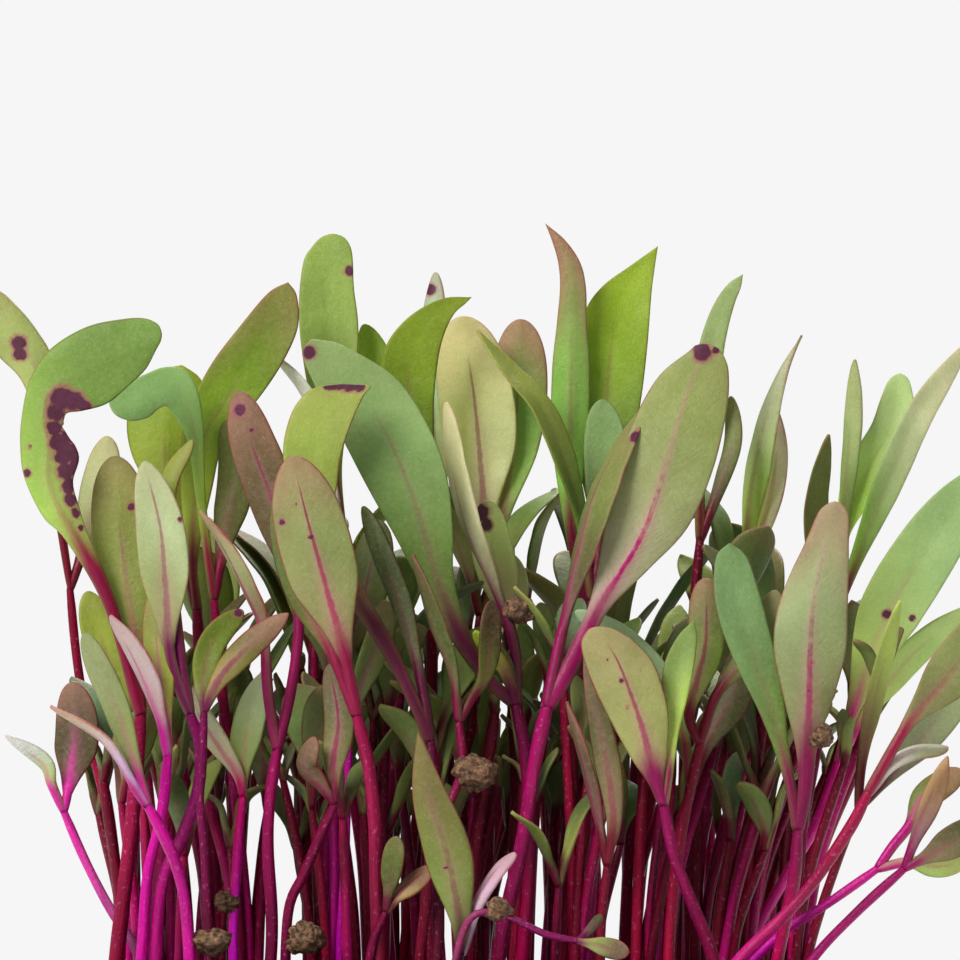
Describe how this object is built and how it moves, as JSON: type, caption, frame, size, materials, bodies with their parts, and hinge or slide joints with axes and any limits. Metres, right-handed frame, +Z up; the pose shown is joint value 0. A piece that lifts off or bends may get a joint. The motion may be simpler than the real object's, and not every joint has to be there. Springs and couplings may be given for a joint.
{
  "type": "beet microgreens tray",
  "caption": "Small plastic tray of peaty soil with a dense stand of beet microgreens on magenta stems.",
  "frame": {"origin": "middle of the tray's flat underside", "axes": "+Z up, X along the tray's long side, -Y towards the viewer of the picture"},
  "size_m": [0.0836, 0.0532, 0.0817],
  "materials": {
    "tray": "satin",
    "soil": "matte",
    "seedlings": "satin"
  },
  "bodies": {
    "root": {"filler_tuft_01": "seedlings", "filler_tuft_02": "seedlings", "filler_tuft_03": "seedlings", "filler_tuft_04": "seedlings", "filler_tuft_05": "seedlings", "filler_tuft_06": "seedlings", "filler_tuft_07": "seedlings", "filler_tuft_08": "seedlings", "filler_tuft_09": "seedlings", "filler_tuft_10": "seedlings", "filler_tuft_11": "seedlings", "filler_tuft_12": "seedlings", "filler_tuft_13": "seedlings", "filler_tuft_14": "seedlings", "filler_tuft_17": "seedlings", "filler_tuft_18": "seedlings", "filler_tuft_22": "seedlings", "filler_tuft_23": "seedlings", "filler_tuft_24": "seedlings", "filler_tuft_25": "seedlings", "filler_tuft_26": "seedlings", "filler_tuft_29": "seedlings", "front_tuft_01": "seedlings", "front_tuft_02": "seedlings", "front_tuft_03": "seedlings", "front_tuft_04": "seedlings", "front_tuft_05": "seedlings", "front_tuft_06": "seedlings", "front_tuft_07": "seedlings", "front_tuft_08": "seedlings", "front_tuft_09": "seedlings", "front_tuft_10": "seedlings", "front_tuft_11": "seedlings", "front_tuft_12": "seedlings", "front_tuft_13": "seedlings", "front_tuft_14": "seedlings", "front_tuft_15": "seedlings", "front_tuft_16": "seedlings", "front_tuft_17": "seedlings", "front_tuft_18": "seedlings", "front_tuft_19": "seedlings", "front_tuft_20": "seedlings", "front_tuft_21": "seedlings", "front_tuft_22": "seedlings", "front_tuft_23": "seedlings", "front_tuft_24": "seedlings", "front_tuft_25": "seedlings", "front_tuft_26": "seedlings", "front_tuft_27": "seedlings", "front_tuft_28": "seedlings", "front_tuft_29": "seedlings", "front_tuft_30": "seedlings", "front_tuft_31": "seedlings", "front_tuft_32": "seedlings", "front_tuft_33": "seedlings", "front_tuft_34": "seedlings", "front_tuft_35": "seedlings", "front_tuft_36": "seedlings", "soil": "soil", "tray": "tray"}
  },
  "joints": []
}
